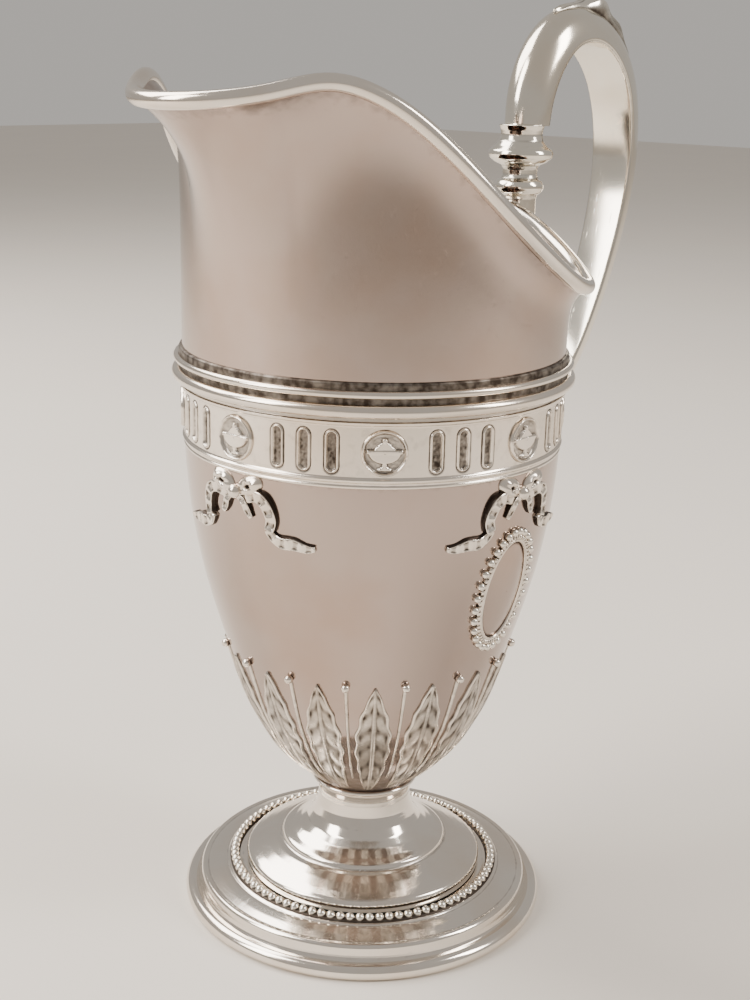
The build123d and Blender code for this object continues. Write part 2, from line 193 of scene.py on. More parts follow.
def tube(piece, path, radius, sides=20, closed=True, tarnish_and_shade=0.0, up=(0, 0, 1)):
    """A round bar along a path. radius may vary along it."""
    p = np.asarray(path, float)
    d = np.roll(p, -1, 0) - np.roll(p, 1, 0) if closed else np.gradient(p, axis=0)
    d /= np.linalg.norm(d, axis=1)[:, None]
    up = np.broadcast_to(np.asarray(up, float), p.shape)
    side = np.cross(d, up)
    side /= np.linalg.norm(side, axis=1)[:, None]
    top = np.cross(side, d)
    a = np.linspace(0, 2 * np.pi, sides, endpoint=False)
    r = np.broadcast_to(np.asarray(radius, float), (len(p),))[:, None, None]
    cos_a, sin_a = np.cos(a)[None, :, None], np.sin(a)[None, :, None]
    points = p[:, None] + r * (side[:, None] * cos_a + top[:, None] * sin_a)
    return piece.grid(points, tarnish_and_shade, wrap_u=closed, wrap_v=True)


def ball(piece, centre, radius, axis=(0, 0, 1), tarnish_and_shade=(1.0, 0.0), rings=10, sides=16):
    """A bead, darker towards its back, which faces against axis: painted shade on the side turned to what it
    sits on.
    """
    axis = np.asarray(axis, float) / np.linalg.norm(axis)
    side = np.cross(axis, (0.31, 0.52, 0.79))
    side /= np.linalg.norm(side)
    other = np.cross(axis, side)
    lat = np.linspace(0, np.pi, rings)
    lon = np.linspace(0, 2 * np.pi, sides, endpoint=False)
    ring = np.cos(lon)[:, None] * side + np.sin(lon)[:, None] * other
    points = np.asarray(centre) + radius * (np.sin(lat)[None, :, None] * ring[:, None]
                                            + np.cos(lat)[None, :, None] * axis)
    dark = tarnish_and_shade[1] + (tarnish_and_shade[0] - tarnish_and_shade[1]) * step(0.1, -0.7, np.cos(lat))
    return piece.grid(points, dark[None, :], wrap_u=True, flip=True)


# Main dimensions, read from the CAD part where it holds them --------------------------------------
CUP_LOW, CUP_HIGH = box("cup_body")
JOIN_Z = CUP_HIGH[2]
CUP_Z = CUP_LOW[2]
BAND_R = CUP_HIGH[0]
FRIEZE_LOW, FRIEZE_TOP = box("frieze_band")
GIRDLE_LOW, GIRDLE_TOP = box("girdle_reed_lower")
PLAQUE_LOW, PLAQUE_TOP = box("oval_plaque_right")
ROUNDEL_LOW, ROUNDEL_TOP = box("urn_roundels")
FERRULE_LOW, FERRULE_TOP = box("handle_ferrule")
FERRULE_X = (FERRULE_LOW[0] + FERRULE_TOP[0]) / 2
NECK_R = 50.2
SHEET = 1.2
CUP_KNOTS = [(14.1, 36), (17, 39), (22.1, 44), (26.4, 49), (30.1, 55.2), (33.3, 61.5), (35.8, 68), (38.7, 77),
             (42.4, 89), (46, 103), (48.4, 117), (49.4, 127), (BAND_R, 134.5)]


def cup_r(z):
    """Outside radius of the cup at a height."""
    r, h = zip(*CUP_KNOTS)
    z = np.asarray(z, float)
    return np.where(z > 134.5, BAND_R, spline(h, r, np.minimum(z, 134.5), clamp=(1.0, 0.0)))


def on_cup(phi, u, z, h):
    """Points on the cup: across u and up z from the direction phi, raised by h along the wall's normal."""
    r = cup_r(z)
    slope = (cup_r(np.asarray(z) + 0.3) - cup_r(np.asarray(z) - 0.3)) / 0.6
    k = 1 / np.sqrt(1 + slope ** 2)
    a = phi + np.asarray(u) / r
    rr = r + h * k
    return np.stack(np.broadcast_arrays(rr * np.cos(a), rr * np.sin(a), z - h * k * slope), -1)


def stipple(shape, size):
    """Fine punched texture on a grid."""
    return soften(rng.normal(size=shape), 1, False) * size


# Materials ----------------------------------------------------------------------------------------
def silver(name, clean, rough, stain=0.35, scratch=0.5):
    """Old polished silver: dark in the recesses and where shade is painted in, faintly stained and finely
    scratched.
    """
    m = bpy.data.materials.new(name)
    m.use_nodes = True
    nodes, links = m.node_tree.nodes, m.node_tree.links
    shader = nodes["Principled BSDF"]
    shader.inputs["Metallic"].default_value = 1.0
    place = nodes.new("ShaderNodeTexCoord")

    def noise(scale, detail, squash=(1, 1, 1), turn=(0, 0, 0)):
        move = nodes.new("ShaderNodeMapping")
        move.inputs["Scale"].default_value = squash
        move.inputs["Rotation"].default_value = turn
        links.new(place.outputs["Object"], move.inputs["Vector"])
        n = nodes.new("ShaderNodeTexNoise")
        n.inputs["Scale"].default_value = scale
        n.inputs["Detail"].default_value = detail
        links.new(move.outputs["Vector"], n.inputs["Vector"])
        return n.outputs["Fac"]

    def remap(source, low, high, to_low, to_high):
        r = nodes.new("ShaderNodeMapRange")
        r.inputs["From Min"].default_value = low
        r.inputs["From Max"].default_value = high
        r.inputs["To Min"].default_value = to_low
        r.inputs["To Max"].default_value = to_high
        links.new(source, r.inputs["Value"])
        return r.outputs["Result"]

    def maths(kind, a, b):
        q = nodes.new("ShaderNodeMath")
        q.operation = kind
        q.use_clamp = kind == "ADD"
        for k, value in enumerate((a, b)):
            if isinstance(value, (int, float)):
                q.inputs[k].default_value = value
            else:
                links.new(value, q.inputs[k])
        return q.outputs["Value"]

    def blend(factor, a, b):
        x = nodes.new("ShaderNodeMix")
        x.data_type = "RGBA"
        links.new(factor, x.inputs["Factor"])
        for k, value in ((6, a), (7, b)):
            if isinstance(value, tuple):
                x.inputs[k].default_value = (*value, 1)
            else:
                links.new(value, x.inputs[k])
        return x.outputs[2]

    # The per-point attribute darkens the colour: tarnish in the recesses, and painted shade under, behind and
    # inside parts.
    held = nodes.new("ShaderNodeAttribute")
    held.attribute_name = "tarnish_and_shade"
    blotch = noise(38, 5)
    grain = noise(420, 3)
    dark = maths("ADD", held.outputs["Fac"], remap(grain, 0.35, 0.75, -0.12, 0.12))
    dark = remap(dark, 0.12, 0.85, 0.0, 0.97)
    warm = tuple(c * k for c, k in zip(clean, (0.90, 0.80, 0.70)))
    base = blend(remap(blotch, 0.45, 0.72, 0.0, stain), clean, warm)
    colour = blend(dark, base, (0.035, 0.024, 0.018))
    links.new(colour, shader.inputs["Base Color"])
    lines = noise(60, 2, (1, 22, 3), (0.3, 0.7, 0.5))
    lines_b = noise(70, 2, (16, 1, 4), (0.9, 0.2, 1.1))
    mark = maths("ADD", remap(lines, 0.66, 0.74, 0.0, scratch), remap(lines_b, 0.67, 0.75, 0.0, scratch))
    soft = maths("ADD", remap(blotch, 0.3, 0.7, rough * 0.8, rough * 1.35), maths("MULTIPLY", mark, 0.10))
    soft = maths("ADD", soft, maths("MULTIPLY", dark, 0.34))
    links.new(soft, shader.inputs["Roughness"])
    bump = nodes.new("ShaderNodeBump")
    bump.inputs["Strength"].default_value = 0.10
    bump.inputs["Distance"].default_value = 0.0003
    relief = maths("ADD", maths("MULTIPLY", mark, -0.4), maths("MULTIPLY", blotch, 1.0))
    links.new(relief, bump.inputs["Height"])
    links.new(bump.outputs["Normal"], shader.inputs["Normal"])
    return m


# Painted reflection: the body's darker, pinkish base colour stands in for the surroundings mirrored in the
# silver, not the metal's own colour.
BODY_SILVER_PAINTED_REFLECTION = silver("body_silver", (0.45, 0.365, 0.325), 0.13, stain=0.6)
FOOT = silver("foot_silver", (0.83, 0.77, 0.70), 0.12, stain=0.6)
HANDLE = silver("handle_silver", (0.84, 0.79, 0.70), 0.12, stain=0.6)
MOULD = silver("moulding_silver", (0.81, 0.74, 0.66), 0.15, stain=0.5)
ORNAMENT = silver("ornament_silver", (0.84, 0.77, 0.69), 0.17, stain=0.5)
BEAD = silver("bead_silver", (0.88, 0.83, 0.75), 0.15, stain=0.4)

# Foot ---------------------------------------------------------------------------------------------
LAND = box("foot_bead_strip")[0][2]
FOOT_WIRE = 2.3  # radius of the wire under the foot
wire_r = box("foot_rim_wire")[1][0] - FOOT_WIRE
turns = np.linspace(-1.05, 2.7, 40)
ring = [(wire_r + FOOT_WIRE * math.cos(t), 2.0 + FOOT_WIRE * math.sin(t)) for t in turns]
lathe(Piece(), [(46.6, 0.02), (ring[0][0], 0.0)] + ring, 360).make("foot_rim_wire", FOOT, "foot_silver")
flange = chaikin(resample([(46.6, 2.2), (45.0, 4.2), (44.6, 6.2), (38.8, 7.6), (33, 8.0)], 0.8), 2)
top = [(47.7, 3.4), (47.0, 4.6), (46.7, 5.6), (46.6, 6.6), (46.5, 7.3), (46.0, 8.0), (45.2, 8.15),
       (44.7, 7.85), (44.4, 7.95), (42.0, 8.7), (39.9, 9.25), (39.0, 9.35), (38.7, 9.7), (38.2, 9.85),
       (35.4, 9.8), (34.8, 9.5), (33.2, 9.5)]
part = lathe(Piece(), chaikin(resample(top, 0.45), 2), 360)
# The flange's underside is darkened as painted shade.
lathe(part, flange[::-1], 240, tarnish_and_shade=0.45)
part.make("foot_flange", FOOT, "foot_silver")
part = lathe(Piece(), [(38.3, LAND), (38.1, LAND + 0.5), (35.7, LAND + 0.5), (35.5, LAND)], 240, tarnish_and_shade=0.95)
part.make("foot_bead_strip", BEAD, "bead_silver")
part, beads = Piece(), 88
for i in range(beads):
    a = 2 * math.pi * i / beads
    ball(part, (36.9 * math.cos(a), 36.9 * math.sin(a), LAND + 0.85), 1.22)
part.make("foot_beads", BEAD, "bead_silver")
dome = [(33.2, LAND), (33.45, 10.6), (33.4, 11.9), (33.1, 12.6), (32.2, 13.2), (30.4, 14.1), (27.5, 15.4),
        (25.2, 16.3), (23.8, 16.6), (23.3, 16.8), (23.2, 17.3), (22.9, 17.9), (22.2, 18.3), (20.4, 19.0),
        (18.2, 20.3), (16.1, 22.1),
        (14.5, 24.4), (13.4, 27.2), (12.95, 30), (13.05, 32), (13.5, 33.7), (13.9, 34.5)]
part = lathe(Piece(), chaikin(resample(dome, 0.5), 2), 300)
under = [(13.0, 34.4), (11.8, 30), (12.4, 26), (15, 21.4), (19, 18.2), (22, 16.8), (28, 13.6),
         (32, 11.2), (32.5, LAND)]
# The inside of the hollow foot is darkened as painted shade.
lathe(part, chaikin(resample(under, 1.0), 2), 200, tarnish_and_shade=0.45)
part.make("foot_dome_and_stem", FOOT, "foot_silver")
collar = [(1, 34.55), (13.9, 34.55), (14.3, 34.65), (14.85, 35.0), (14.95, 35.35), (14.7, 35.75),
          (14.2, 35.95), (1, 36)]
lathe(Piece(), chaikin(resample(collar, 0.3), 1), 200).make("stem_collar", FOOT, "foot_silver")

# Cup ----------------------------------------------------------------------------------------------
z = np.linspace(CUP_Z, JOIN_Z, 230)
outside = np.stack([cup_r(z), z], 1)
floor_lift = np.where(z < 45, 3.6 * (1 - (z - CUP_Z) / 9), 0)
inside = np.stack([np.maximum(cup_r(z) - SHEET, 0.1), z + floor_lift], 1)[::-1]
outside[:, 0] -= 0.95 * step(136.3, 136.8, z) * step(147.7, 147.2, z)
# Painted shade: the cup darkens downward from height 66, behind the calyx leaves, and in a band at 135 at the
# foot of the frieze moulding.
painted_shade = 0.55 * step(66, 42, outside[:, 1]) + 0.5 * hump(outside[:, 1], 135, 2.0)
painted_shade = np.concatenate([[0.3], painted_shade])[None, :]
part = lathe(Piece(), np.vstack([[(0.05, CUP_Z)], outside]), 384, tarnish_and_shade=painted_shade)
# The inside wall is evenly darkened a little as painted shade.
lathe(part, np.vstack([inside, [(0.05, 39.6)]]), 256, tarnish_and_shade=0.18)
part.make("cup_body", BODY_SILVER_PAINTED_REFLECTION, "body_silver")

# Calyx --------------------------------------------------------------------------------------------
LEAVES = 16
LEAF_FOOT = 37.4  # height where the leaves start
LEAF_TOP = box("acanthus_leaves")[1][2]
part = Piece()
t = np.linspace(0, 1, 72)[:, None]
s = np.linspace(-1, 1, 29)[None, :]
level = LEAF_FOOT + (LEAF_TOP - LEAF_FOOT) * t + 0 * s
width = spline([0, 0.12, 0.25, 0.4, 0.55, 0.68, 0.8, 0.92, 1],
               [1.0, 2.1, 3.3, 4.5, 5.1, 4.7, 3.5, 1.6, 0.05], t)
lobed = width * (1 - 0.13 * np.abs(np.sin(np.pi * 6.5 * t)) ** 1.5 * step(0.15, 0.35, t) * step(0.98, 0.8, t))
away = np.abs(s)
vein = np.cos(2 * np.pi * (6.5 * t + 0.8 * away)) * step(0.08, 0.3, away) * step(0.84, 0.66, away)
rise = 0.35 + 0.22 * (1 - away ** 2) + 0.30 * hump(s * lobed, 0, 0.32)
rise = rise + 0.08 * vein + 0.42 * hump(away, 0.9, 0.075)
rise = rise * step(-0.05, 0.14, t) - 0.6 * (away > 0.99)
rise[-1] = -0.2
dark = np.clip(cavity(rise, 7, depth=0.2) + 0.8 * (away > 0.98) + 0.42 * step(0.93, 0.8, away), 0, 1)
for i in range(LEAVES):
    part.grid(on_cup(2 * np.pi * i / LEAVES, s * lobed, level, rise), dark, flip=True)
part.make("acanthus_leaves", ORNAMENT, "ornament_silver")
part = Piece()
for i in range(LEAVES):
    phi = 2 * np.pi * (i + 0.5) / LEAVES
    tt = np.linspace(0, 1, 30)[:, None]
    ss = np.linspace(-1, 1, 7)[None, :]
    zz = 45 + 32.5 * tt + 0 * ss
    ww = 0.34 + 0.28 * tt
    hh = 0.75 * np.sqrt(np.clip(1 - ss ** 2, 0, 1)) - 0.15
    part.grid(on_cup(phi, ss * ww, zz, hh + 0 * tt), 0.25 + 0.6 * (np.abs(ss) > 0.8) + 0 * tt, flip=True)
    centre = on_cup(phi, 0.0, 78.0, 0.75)
    ball(part, centre, 1.15, axis=centre * (1, 1, 0), tarnish_and_shade=(0.9, 0.0))
part.make("ball_tipped_pins", ORNAMENT, "ornament_silver")

# Frieze -------------------------------------------------------------------------------------------
F_Z = (ROUNDEL_LOW[2] + ROUNDEL_TOP[2]) / 2
n_around, n_up = 1680, 58
phi = np.linspace(0, 2 * np.pi, n_around, endpoint=False)[:, None]
up = np.linspace(FRIEZE_LOW[2], FRIEZE_TOP[2], n_up)[None, :]
height = np.zeros((n_around, n_up))
rough = stipple(height.shape, 0.10)
radius = FRIEZE_TOP[0]
for k in range(24):
    centre = math.radians(45 * (k // 3) + 22.5 + 8 * (k % 3 - 1))
    u = (np.mod(phi - centre + np.pi, 2 * np.pi) - np.pi) * radius
    d = np.hypot(u, np.maximum(np.abs(up - F_Z) - 3.55, 0))
    height += 0.42 * hump(d, 1.42, 0.26) - 0.18 * hump(d, 1.85, 0.16)
    height = np.where(d < 1.05, -0.5 + rough, height)
wall = radius - 0.45 + height
points = np.stack([wall * np.cos(phi), wall * np.sin(phi), up + 0 * phi], -1)
dark = np.clip(cavity(height, 5, True, 0.16) + 0.12, 0, 1)
dark[height < -0.25] = np.clip(0.72 + 1.6 * rough[height < -0.25], 0.3, 1)
Piece().grid(points, dark, wrap_u=True).make("frieze_band", MOULD, "moulding_silver")

rr = np.linspace(0.02, 1, 40)[None, :]
aa = np.linspace(0, 2 * np.pi, 112, endpoint=False)[:, None]
R = (ROUNDEL_TOP[2] - ROUNDEL_LOW[2]) / 2
x, y = R * rr * np.cos(aa), R * rr * np.sin(aa)
d = np.hypot(x, y)
floor_h = -0.1 + stipple(x.shape, 0.09)
bowl = step(3.95, 3.6, np.hypot(x, (y - 0.2) * 1.45)) * (y < 0.25)
brim = step(4.3, 4.1, np.abs(x)) * step(0.55, 0.35, np.abs(y - 0.35))
lid = step(0.15, 0.0, np.abs(x) - 2.9 * np.clip(1 - (y - 0.3) / 2.6, 0, 1) ** 0.7) * (y > 0.3) * (y < 2.9)
knob = step(0.75, 0.5, np.hypot(x, y - 3.1))
foot = step(0.2, 0.0, np.abs(x) - (0.45 + 1.1 * step(-3.1, -4.0, y))) * (y < -2) * (y > -4.1)
motif = np.maximum.reduce([0.75 * bowl, 0.8 * brim, 0.62 * lid, 0.8 * knob, 0.6 * foot])
relief = np.where(motif > 0.15, motif * 0.85, floor_h)
relief = relief + 0.85 * hump(d, R - 0.55, 0.42) - 0.5 * step(R - 0.12, R, d)
dark = np.clip(np.where(motif > 0.3, 0.05, 0.62 + 1.5 * floor_h), 0, 1) * step(R - 0.5, R - 1.1, d)
dark = np.clip(dark + 0.9 * step(R - 0.12, R, d) + cavity(relief, 3, True, 0.3) * 0.4, 0, 1)
part = Piece()
for i in range(8):
    a = math.pi / 4 * i + x / radius
    w = radius - 0.25 + relief
    part.grid(np.stack([w * np.cos(a), w * np.sin(a), F_Z + y], -1), dark, wrap_u=True)
part.make("urn_roundels", ORNAMENT, "ornament_silver")

low = FRIEZE_LOW[2]
fillet = [(BAND_R - 0.1, 133.0), (BAND_R + 0.22, 133.3), (BAND_R + 0.28, 133.7), (BAND_R + 0.02, 134.0),
          (BAND_R + 0.05, 134.5), (BAND_R + 0.5, 134.8), (BAND_R + 0.62, 135.3), (BAND_R + 0.25, 135.7),
          (BAND_R + 0.1, low)]
part = lathe(Piece(), chaikin(resample(fillet, 0.12), 1), 360)
part.make("frieze_lower_fillet", MOULD, "moulding_silver")
high = FRIEZE_TOP[2]
steps = [(BAND_R + 0.1, high), (50.35, high + 0.1), (50.4, high + 0.6), (50.85, high + 0.85),
         (50.9, high + 1.4),
         (50.4, high + 1.6), (50.35, high + 2.3)]
part = lathe(Piece(), chaikin(resample(steps, 0.12), 1), 360)
part.make("frieze_upper_fillet", MOULD, "moulding_silver")


def reed(centre_r, z0, size, base_r):
    """Half-round ring profile standing on a wall."""
    t = np.linspace(-0.5 * np.pi - 0.25, 0.5 * np.pi + 0.25, 30)
    p = np.stack([centre_r + size * np.cos(t), z0 + size * np.sin(t)], 1)
    return np.vstack([[(base_r, p[0, 1])], p, [(base_r, p[-1, 1])]])


strap_low, strap_top = box("girdle_strap")
strap = [(50.3, strap_low[2]), (50.95, strap_low[2] + 0.2), (51.0, strap_low[2] + 1),
         (51.0, strap_top[2] - 0.5),
         (50.8, strap_top[2] - 0.1), (50.2, strap_top[2])]
lathe(Piece(), resample(strap, 0.25), 300, tarnish_and_shade=0.8).make("girdle_strap", MOULD, "moulding_silver")
mid = (GIRDLE_LOW[2] + GIRDLE_TOP[2]) / 2
part = lathe(Piece(), reed(GIRDLE_TOP[0] - 1.65, mid, 1.65, 51.0), 360)
part.make("girdle_reed_lower", MOULD, "moulding_silver")
up_low, up_top = box("girdle_reed_upper")
part = lathe(Piece(), reed(up_top[0] - 1.0, (up_low[2] + up_top[2]) / 2, 1.0, 51.0), 360)
part.make("girdle_reed_upper", MOULD, "moulding_silver")

# Helmet and rim -----------------------------------------------------------------------------------
RIM_ANGLE = range(0, 181, 10)  # from the spout round to the handle
RIM_R = [71, 68.5, 63.3, 58.4, 55.2, 53.8] + [53.6] * 13
RIM_Z = [219.5, 220, 221.8, 224, 221.8, 216.3, 208.6, 200, 191.8, 185, 179.8, 176.6, 175.2, 175,
         176.3, 179, 182.8, 187, 189.6]
LIP = 11.0  # most that the lip turns out at the spout
RIM_WIRE = 2.02
n_round = 384
theta = np.linspace(0, 2 * np.pi, n_round, endpoint=False)
alpha = np.degrees(np.abs(np.mod(theta + 1e-9, 2 * np.pi) - np.pi))
rim_r = spline(RIM_ANGLE, RIM_R, alpha, clamp=(0, 0))
rim_z = spline(RIM_ANGLE, RIM_Z, alpha, clamp=(0, 0))
flare = np.minimum(15 + 45 * np.exp(-(alpha / 45) ** 2), rim_z - JOIN_Z - 1)
k = 1 - (1 - np.linspace(0, 1, 90)[None, :]) ** 1.3
zz = JOIN_Z + (rim_z[:, None] - JOIN_Z) * k
t = np.maximum(0, (zz - rim_z[:, None] + flare[:, None]) / flare[:, None])
spread = rim_r[:, None] - NECK_R
lip = np.minimum(0.85 * spread, LIP)
r_out = NECK_R + (spread - lip) * t ** 2 + lip * t ** 6
slope = (2 * (spread - lip) * t + 6 * lip * t ** 5) / flare[:, None]
nr, nz = 1 / np.hypot(1, slope), -slope / np.hypot(1, slope)
r_in, z_in = r_out - SHEET * nr, zz - SHEET * nz
c, q = np.cos(theta)[:, None], np.sin(theta)[:, None]
outer = np.stack([r_out * c, r_out * q, zz], -1)
inner = np.stack([r_in * c, r_in * q, z_in], -1)
# Painted shade: a dark band at the helmet's foot under the mouldings and one at its top edge under the rim
# wire.
painted_shade = 0.75 * hump(k, 0.0, 0.02) + 0.28 * hump(k, 1.0, 0.05) + 0 * r_out
part = Piece().grid(outer, painted_shade, wrap_u=True)
# The inside is evenly darkened a little as painted shade.
part.grid(inner[:, ::-1], 0.2 + 0 * r_out, wrap_u=True)
part.make("helmet_body", BODY_SILVER_PAINTED_REFLECTION, "body_silver")
edge = (outer[:, -1] + inner[:, -1]) / 2
lift = (outer[:, -1] - outer[:, -2])
lift /= np.linalg.norm(lift, axis=1)[:, None]
path = edge + lift * 1.7
tube(Piece(), path, RIM_WIRE, 28, True, 0.0, up=lift).make("rim_wire", FOOT, "moulding_silver")


# Ribbon bows --------------------------------------------------------------------------------------
def ribbon(part, phi, path, widths, lifts, pleats):
    """A folded ribbon laid on the cup along (across, height) points."""
    p = curve(path, 90)
    s = np.linspace(0, 1, len(p))
    d = np.gradient(p, axis=0)
    d /= np.linalg.norm(d, axis=1)[:, None]
    side = np.stack([-d[:, 1], d[:, 0]], 1)
    w = np.interp(s, np.linspace(0, 1, len(widths)), widths) / 2
    lift = np.interp(s, np.linspace(0, 1, len(lifts)), lifts)
    c = np.array([-1, -1, -0.93, -0.82, -0.66, -0.4, 0, 0.4, 0.66, 0.82, 0.93, 1, 1])
    u = p[:, None, 0] + side[:, None, 0] * w[:, None] * c
    z = p[:, None, 1] + side[:, None, 1] * w[:, None] * c
    fold = 0.26 * np.cos(2 * np.pi * pleats * s)[:, None] * (np.abs(c) < 0.7)
    h = lift[:, None] + 0.24 * hump(np.abs(c), 0.86, 0.12) + 0.3 * (1 - c ** 2) * 0.5 + fold
    h = np.where(np.arange(len(c)) == 0, -0.3, np.where(np.arange(len(c)) == len(c) - 1, -0.3, h))
    h[0], h[-1] = -0.3, -0.3
    dark = np.clip(cavity(h, 3, depth=0.22) + 0.85 * (np.abs(c) > 0.97) + 0.25 * (fold < -0.1), 0, 1)
    part.grid(on_cup(phi, u, z, h), dark, flip=True)


def petal(part, phi, u0, z0, size, turn, height):
    """One loop of a bow: a puffed oval with a dark opening."""
    r = np.linspace(0.02, 1, 22)[None, :]
    a = np.linspace(0, 2 * np.pi, 48, endpoint=False)[:, None]
    x, y = size[0] * r * np.cos(a), size[1] * r * np.sin(a)
    u = u0 + x * math.cos(turn) - y * math.sin(turn)
    z = z0 + x * math.sin(turn) + y * math.cos(turn)
    shape = np.sin(np.pi * np.clip(r, 0, 1) ** 0.85) ** 0.7
    far = 0.5 + 0.5 * np.cos(a) * np.sign(u0)
    h = height * shape * (0.75 + 0.25 * far) + 0.12 * np.cos(5 * a) * shape - 0.3 * (r > 0.985)
    h = h - 0.15 * (1 - step(0.0, 0.35, r))
    dark = np.clip(0.95 * step(0.32, 0.12, r) + 0.9 * step(0.93, 1.0, r) + 0 * h, 0, 1)
    part.grid(on_cup(phi, u, z, h), dark, wrap_u=True)


BOW_Z = 128.6
for phi, name in ((np.pi, "spout"), (np.pi / 2, "left"), (-np.pi / 2, "right"), (0.0, "handle")):
    part = Piece()
    for side in (-1, 1):
        first = [(0.8, -0.9), (3.6, -1.1), (6.2, -0.1), (8.6, -0.6), (10.3, -3.0), (10.9, -6.0), (10.2, -8.2)]
        second = [(9.6, -8.0), (11.4, -10.2), (13.8, -10.9), (16.4, -10.9), (18.9, -11.5), (22.0, -11.4)]
        short = [(0.8, -0.8), (2.8, -2.2), (3.8, -4.2), (4.9, -6.0)]
        for line, widths, lifts, pleats in (
                (short, [1.2, 2.0, 2.2, 1.4], [0.6, 0.9, 0.7, 0.5], 2),
                (second, [2.0, 2.7, 3.0, 3.0, 2.4, 1.2], [0.7, 0.5, 1.1, 0.8, 0.6, 0.9], 4),
                (first, [1.4, 2.6, 3.0, 3.1, 3.1, 3.0, 2.6], [0.9, 0.6, 1.0, 1.3, 1.1, 0.9, 1.2], 5)):
            path = [(side * u, BOW_Z + z) for u, z in line]
            ribbon(part, phi, path[::side], widths[::side], lifts[::side], pleats)
        petal(part, phi, side * 4.5, BOW_Z + 2.0, (4.3, 2.7), side * 0.42, 1.7)
    knot = on_cup(phi, 0.0, BOW_Z, 0.5)
    ball(part, knot, 1.9, axis=knot * (1, 1, 0), tarnish_and_shade=(0.95, 0.0), rings=14, sides=20)
    part.make(f"ribbon_bow_{name}", ORNAMENT, "ornament_silver")

# Oval plaques -------------------------------------------------------------------------------------
OVAL_Z = (PLAQUE_LOW[2] + PLAQUE_TOP[2]) / 2
a = np.linspace(0, 2 * np.pi, 180, endpoint=False)
for phi, name in ((np.pi / 2, "left"), (-np.pi / 2, "right")):
    r = np.linspace(0.01, 1, 30)[None, :]
    u, z = 7.35 * r * np.cos(a)[:, None], OVAL_Z + 13.55 * r * np.sin(a)[:, None]
    h = 0.25 + 0.75 * (1 - r ** 2) - 0.3 * step(0.94, 1, r) + 0 * u
    Piece().grid(on_cup(phi, u, z, h), 0.9 * step(0.9, 1, r) + 0 * u, wrap_u=True).make(
        f"oval_plaque_{name}", BODY_SILVER_PAINTED_REFLECTION, "ornament_silver")
    part = Piece()
    for half_u, half_z, size, twist in ((7.75, 13.95, 0.55, 0), (8.6, 14.8, 0.62, 60)):
        t = np.linspace(0, 2 * np.pi, 640 if twist else 180, endpoint=False)
        line = on_cup(phi, half_u * np.cos(t), OVAL_Z + half_z * np.sin(t), 0.35)
        out = line * (1, 1, 0)
        wave = 1 + (0.17 * np.cos(twist * t) if twist else 0 * t)
        tube(part, line, size * wave, 12, True, (0.15 + 0.7 * (wave < 0.9) * bool(twist))[:, None], up=out)
    part.make(f"oval_frame_{name}", ORNAMENT, "ornament_silver")
    part, count = Piece(), 30
    for i in range(count):
        t = 2 * math.pi * i / count
        centre = on_cup(phi, 10.0 * math.cos(t), OVAL_Z + 16.3 * math.sin(t), 0.5)
        ball(part, centre, 1.08, axis=centre * (1, 1, 0), tarnish_and_shade=(1.0, 0.0))
    part.make(f"oval_beads_{name}", BEAD, "bead_silver")

# Handle -------------------------------------------------------------------------------------------
PAD_X = box("handle_lower_pad")[1][0]
LOOP = [(FERRULE_X, 214, 13.2), (61.6, 221, 13.8), (65.8, 231, 14.4), (74, 239, 14.8), (86, 241.5, 15),
        (98, 237, 15), (107, 227, 14.8), (111.2, 214, 14.2), (111.5, 199, 13.6), (107.5, 181, 12.6),
        (100.5, 163, 11.6), (91, 146, 10.6), (78.5, 131.5, 9.8), (64, 120.5, 9.2), (PAD_X, 117, 9)]
loop = curve(LOOP, 260)
d = np.gradient(loop[:, :2], axis=0)
d /= np.linalg.norm(d, axis=1)[:, None]
out = np.stack([-d[:, 1], 0 * d[:, 0], d[:, 0]], 1)
centre = np.stack([loop[:, 0], 0 * d[:, 0], loop[:, 1]], 1)
half, thick = loop[:, 2] / 2, loop[:, 2] * 0.62
a = np.linspace(0, np.pi, 29)
arc = np.stack([np.cos(a), np.sin(a) - 0.45], 1)
arc = np.vstack([[(0.90, -0.50)], [(0.97, -0.49)], arc, [(-0.97, -0.49)], [(-0.90, -0.50)]])
grip = centre[:, None] + half[:, None, None] * arc[None, :, :1] * np.array([0, 1, 0]) + (
    thick[:, None, None] * arc[None, :, 1:] * out[:, None])
Piece().grid(grip, 0.0, flip=True).make("handle_grip", HANDLE, "handle_silver")
back = np.array([(1.0, -0.46), (0.99, -0.50), (0.94, -0.525), (0.86, -0.53), (0.5, -0.54), (0, -0.545),
                 (-0.5, -0.54), (-0.86, -0.53), (-0.94, -0.525), (-0.99, -0.50), (-1.0, -0.46)])
strip = centre[:, None] + half[:, None, None] * back[None, :, :1] * np.array([0, 1, 0]) + (
    thick[:, None, None] * back[None, :, 1:] * out[:, None])
edge = 0.5 * step(0.97, 1.0, np.abs(back[:, 0]))[None, :]
Piece().grid(strip, edge).make("handle_inner_strip", HANDLE, "handle_silver")
first, last = np.searchsorted(loop[:150, 0], (75.0, 108.5))
along = np.linspace(0, 1, 90)
spot = np.interp(along, (0, 1), (first, last))
mid = np.stack([np.interp(spot, np.arange(len(centre)), centre[:, q]) for q in range(3)], 1)
lean = np.stack([np.interp(spot, np.arange(len(out)), out[:, q]) for q in range(3)], 1)
wide, deep = np.interp(spot, np.arange(len(half)), half), np.interp(spot, np.arange(len(thick)), thick)
c = np.linspace(-1, 1, 25)[None, :]
spread = spline([0, 0.12, 0.3, 0.5, 0.75, 0.92, 1], [0.3, 1.9, 3.1, 3.3, 2.7, 1.6, 0.3], along)[:, None]
a = np.pi / 2 + c * spread / wide[:, None]
tall = 0.7 + 3.2 * hump(along, 0.36, 0.085)[:, None] * (1 - 0.35 * c ** 2)
tall = tall + 1.3 * hump(along, 0.55, 0.2)[:, None]
